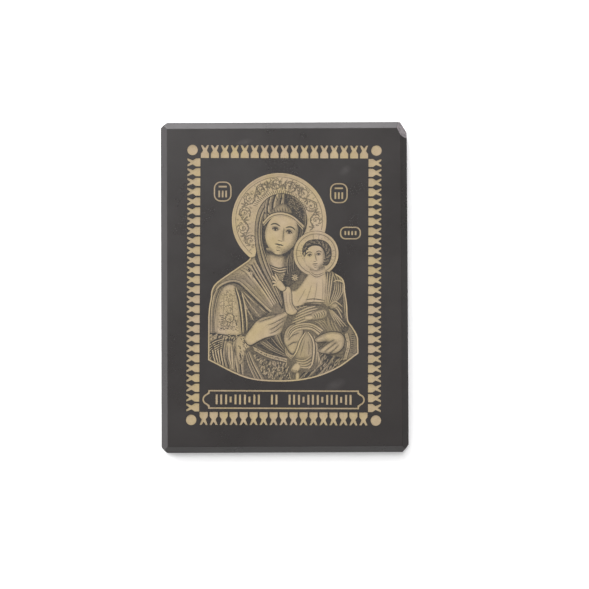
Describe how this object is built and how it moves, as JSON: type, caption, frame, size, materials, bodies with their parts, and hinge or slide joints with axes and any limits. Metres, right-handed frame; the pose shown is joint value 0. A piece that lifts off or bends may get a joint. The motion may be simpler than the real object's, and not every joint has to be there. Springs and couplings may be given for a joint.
{
  "type": "icon panel",
  "caption": "Small dark stone icon panel with bevelled edges and cut corners, engraved with an ornamental frame and a haloed mother and child in gilt.",
  "frame": {"origin": "middle of the flat back, on which the panel lies", "axes": "+X to the right of the picture, +Y to its top, +Z out of the engraved face"},
  "size_m": [0.06, 0.0804, 0.007],
  "materials": {
    "stone": "polished dark stone, its engraving filled with satin pale gilt"
  },
  "bodies": {
    "root": {"stone_slab": "stone"}
  },
  "joints": []
}
